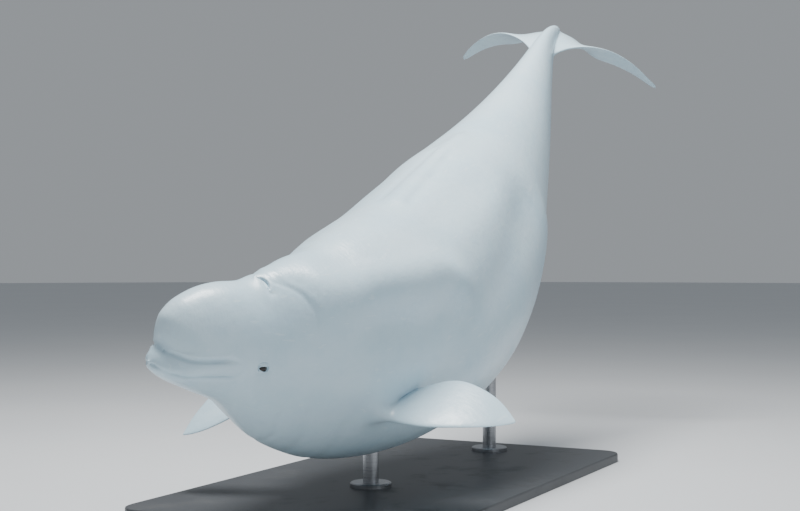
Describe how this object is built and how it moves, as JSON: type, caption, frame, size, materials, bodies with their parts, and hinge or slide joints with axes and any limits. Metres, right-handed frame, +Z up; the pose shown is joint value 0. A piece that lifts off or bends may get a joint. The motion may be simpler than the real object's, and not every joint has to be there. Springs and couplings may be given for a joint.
{
  "type": "beluga whale",
  "caption": "Life-size still model of an adult beluga whale, swimming with its head turned and tail raised, on a flat base with two rods.",
  "frame": {"origin": "on the floor, under the middle of the whole model's length and width", "axes": "+Z up, the whale's head towards -Y and its tail towards +Y, +X to the whale's left"},
  "size_m": [1.436, 3.8374, 2.2701],
  "materials": {
    "skin": "smooth satin skin, cool white",
    "eye": "glossy, near black brown",
    "stand_base": "matt dark paint",
    "stand_rod": "brushed"
  },
  "bodies": {
    "root": {"head": "skin", "lower_jaw": "skin", "neck": "skin", "chest": "skin", "trunk": "skin", "tail": "skin", "tail_stock": "skin", "flipper_left": "skin", "flipper_right": "skin", "fluke_left": "skin", "fluke_right": "skin", "eye_left": "eye", "eye_right": "eye", "stand_base": "stand_base", "stand_rod_front": "stand_rod", "stand_rod_rear": "stand_rod"}
  },
  "joints": []
}
